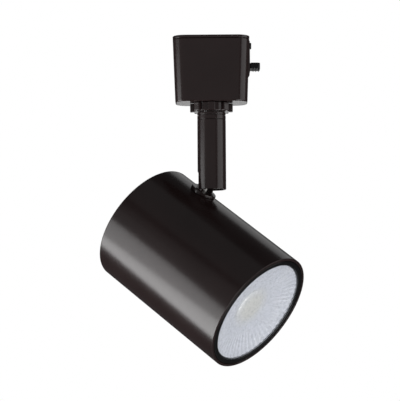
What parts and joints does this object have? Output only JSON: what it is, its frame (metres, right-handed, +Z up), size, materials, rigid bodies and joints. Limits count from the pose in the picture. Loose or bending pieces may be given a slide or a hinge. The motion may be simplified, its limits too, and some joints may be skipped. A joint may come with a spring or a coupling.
{
  "type": "track spotlight",
  "caption": "Cylindrical LED track head on a slotted swivel stem under a boxed track adapter with a sliding lock tab and sprung contacts.",
  "frame": {"origin": "middle of the adapter's top face, which lies against the track; the lamp hangs below it", "axes": "+Z up, out of the adapter's top face; +X along the track and the adapter's long side, towards the lock tab; +Y across the track"},
  "size_m": [0.1129, 0.1029, 0.1829],
  "materials": {
    "bronze": "dark bronze satin powder coat",
    "black_plastic": "black moulded plastic",
    "bezel_black": "black satin ring",
    "zinc_steel": "zinc plated",
    "brass": "bare brass",
    "aluminium": "cast",
    "white_plastic": "white moulded plastic",
    "clear_lens": "clear, fluted optic",
    "phosphor": "yellow phosphor",
    "circuit_board": "green solder mask",
    "component_case": "epoxy and sleeve",
    "transformer_tape": "yellow tape",
    "silicone_rubber": "silicone",
    "lead_insulation": "white silicone sleeve"
  },
  "bodies": {
    "adapter": {"adapter_housing": "bronze", "top_cover": "bronze", "cover_screw_1": "zinc_steel", "cover_screw_2": "zinc_steel", "contact_carrier": "black_plastic", "live_contact_spring": "zinc_steel", "neutral_contact_spring": "zinc_steel", "ground_contact_spring": "zinc_steel", "lock_spring": "zinc_steel", "live_lead": "lead_insulation", "neutral_lead": "lead_insulation", "ground_lead": "lead_insulation", "swivel_socket": "black_plastic", "thrust_washer": "white_plastic"},
    "live_plunger": {"live_contact": "brass"},
    "neutral_plunger": {"neutral_contact": "brass"},
    "ground_plunger": {"ground_contact": "brass"},
    "lock_slider": {"lock_slider": "black_plastic"},
    "stem": {"swivel_shaft": "zinc_steel", "stop_pin": "zinc_steel", "lock_nut": "brass", "stem_cap": "bronze", "stem_tube": "bronze", "swivel_block": "zinc_steel", "pivot_pin": "zinc_steel", "stem_lead_sleeve": "lead_insulation"},
    "head": {"tilt_bracket": "bronze", "tilt_washer_1": "zinc_steel", "tilt_washer_2": "zinc_steel", "bracket_screw_1": "zinc_steel", "bracket_screw_2": "zinc_steel", "lead_bushing": "silicone_rubber", "head_housing": "bronze", "rear_cap": "bronze", "rear_cap_screw_1": "zinc_steel", "rear_cap_screw_2": "zinc_steel", "rear_cap_screw_3": "zinc_steel", "heat_sink": "aluminium", "sink_screw_1": "zinc_steel", "sink_screw_2": "zinc_steel", "sink_screw_3": "zinc_steel", "led_board": "white_plastic", "led_board_screw_1": "zinc_steel", "led_board_screw_2": "zinc_steel", "led_emitter": "phosphor", "lens_holder": "white_plastic", "lens_gasket": "silicone_rubber", "lens": "clear_lens", "bezel": "bezel_black", "driver_tray": "white_plastic", "driver_board": "circuit_board", "transformer": "transformer_tape", "rectifier": "component_case", "input_terminal": "white_plastic", "output_terminal": "white_plastic", "capacitor_1": "component_case", "capacitor_2": "component_case", "head_lead_sleeve": "lead_insulation", "led_lead": "lead_insulation"}
  },
  "joints": [
    {"name": "lock_slide", "type": "slide", "parent": "adapter", "child": "lock_slider", "axis": [0, 0, -1], "range_m": [0, 0.0035], "stiffness_N_per_m": 500, "springref_m": -0.002, "deforming": ["lock_spring"]},
    {"name": "live_press", "type": "slide", "parent": "adapter", "child": "live_plunger", "axis": [0, 0, -1], "range_m": [0, 0.001], "stiffness_N_per_m": 600, "springref_m": -0.001, "deforming": ["live_contact_spring"]},
    {"name": "neutral_press", "type": "slide", "parent": "adapter", "child": "neutral_plunger", "axis": [0, 0, -1], "range_m": [0, 0.001], "stiffness_N_per_m": 600, "springref_m": -0.001, "deforming": ["neutral_contact_spring"]},
    {"name": "ground_press", "type": "slide", "parent": "adapter", "child": "ground_plunger", "axis": [0, 0, -1], "range_m": [0, 0.001], "stiffness_N_per_m": 600, "springref_m": -0.001, "deforming": ["ground_contact_spring"]},
    {"name": "pan_swivel", "type": "hinge", "parent": "adapter", "child": "stem", "pos_m": [0, 0, -0.0419], "axis": [0, 0, 1], "range_deg": [-139.1, 204.9]},
    {"name": "tilt_hinge", "type": "hinge", "parent": "stem", "child": "head", "pos_m": [0, 0, -0.0774], "axis": [0.5432, 0.8396, 0], "range_deg": [-34.7, 55.3]}
  ]
}
